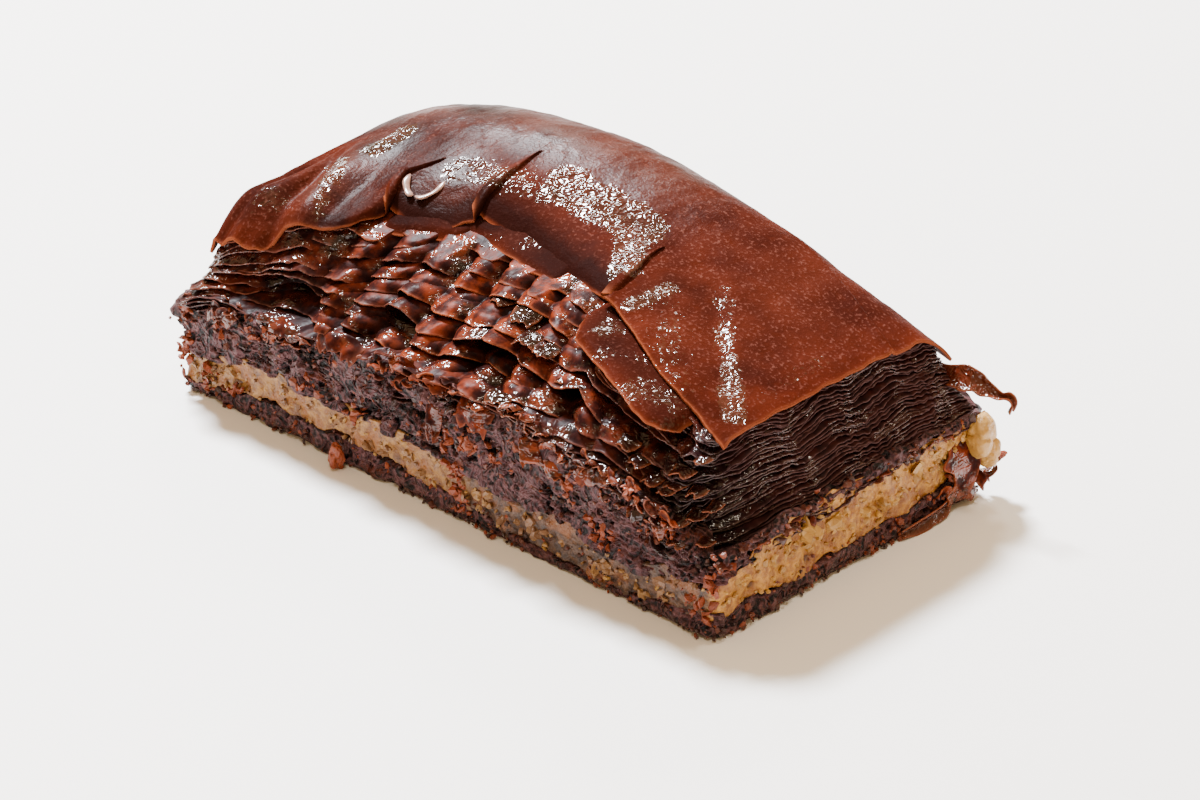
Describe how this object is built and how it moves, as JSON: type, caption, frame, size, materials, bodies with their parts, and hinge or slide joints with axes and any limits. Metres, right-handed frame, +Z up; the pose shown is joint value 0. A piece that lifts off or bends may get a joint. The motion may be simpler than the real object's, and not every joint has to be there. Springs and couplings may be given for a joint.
{
  "type": "piece of chocolate baklava",
  "caption": "Rectangular piece of chocolate baklava: a thin pastry base, a nut band, and a domed stack of cocoa pastry leaves that step back to a glazed top leaf.",
  "frame": {"origin": "on the table under the middle of the piece", "axes": "+X along the long side towards the end whose leaves are cut flush, -Y towards the long cut face where the leaves open, +Z up"},
  "size_m": [0.0733, 0.0395, 0.0272],
  "materials": {
    "base_pastry": "dark, crumbly baked pastry, matte",
    "nut_filling": "moist chopped nuts, satin",
    "upper_pastry": "syrup-glazed cocoa pastry leaves, glossy on top"
  },
  "bodies": {
    "root": {"base_pastry": "base_pastry", "nut_filling": "nut_filling", "upper_pastry": "upper_pastry"}
  },
  "joints": []
}
